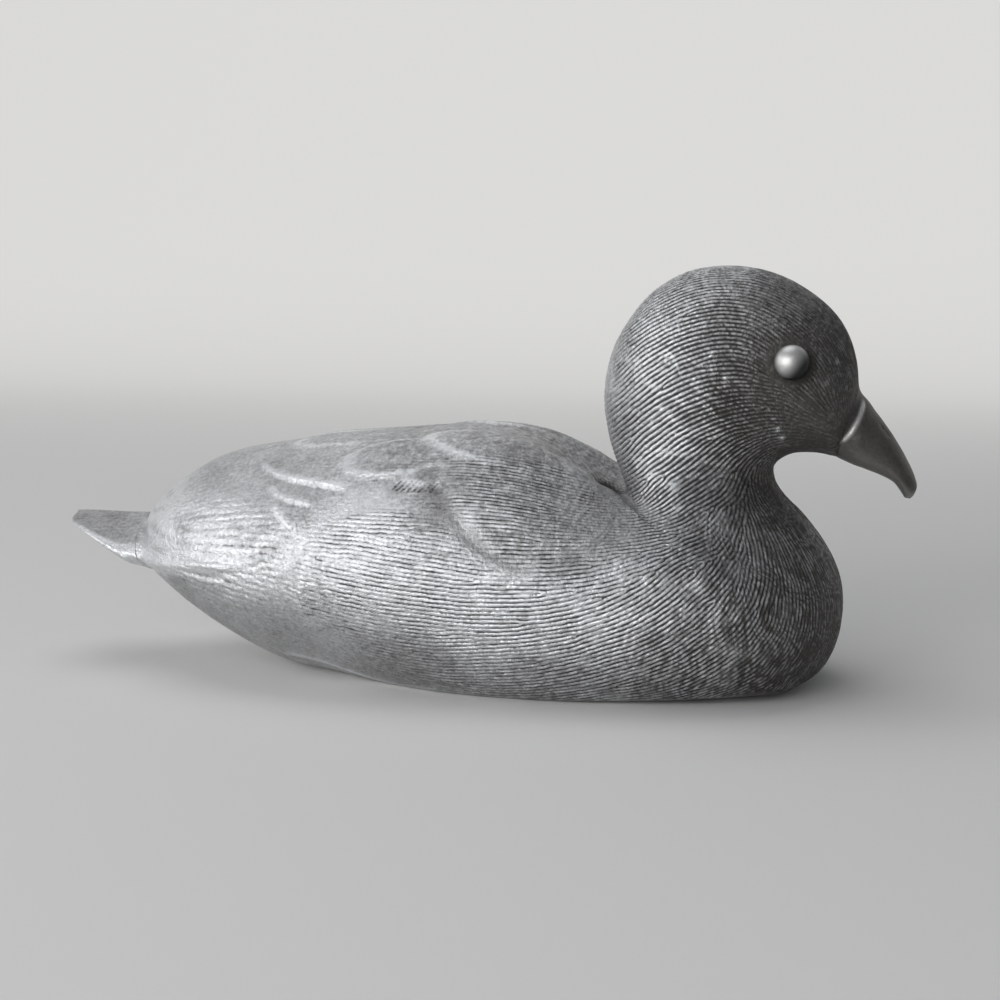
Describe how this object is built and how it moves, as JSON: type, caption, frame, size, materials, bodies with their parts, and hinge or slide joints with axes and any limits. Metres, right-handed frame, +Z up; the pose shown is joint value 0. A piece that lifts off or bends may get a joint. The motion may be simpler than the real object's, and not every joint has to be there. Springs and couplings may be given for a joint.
{
  "type": "duck figurine",
  "caption": "Hollow cast pewter duck figurine sitting with its head up: combed feather texture, smooth bill, bead eyes and a flat base to stand on a shelf.",
  "frame": {"origin": "middle of the length and width, on the surface that the duck stands on", "axes": "+X towards the bill, +Y to the duck's left, +Z up"},
  "size_m": [0.2372, 0.0938, 0.1123],
  "materials": {
    "cast_pewter": "antiqued cast pewter, combed with fine lines, bright ridges and dark grooves",
    "dark_pewter": "smooth pewter with a dark patina",
    "polished_pewter": "polished pewter bead",
    "sheet_pewter": "dull rolled pewter sheet",
    "black_felt": "pressed wool felt"
  },
  "bodies": {
    "root": {"body_shell": "cast_pewter", "head_shell": "cast_pewter", "tail_plate": "cast_pewter", "bill": "dark_pewter", "right_eye": "polished_pewter", "left_eye": "polished_pewter", "base_plate": "sheet_pewter", "base_felt": "black_felt"}
  },
  "joints": []
}
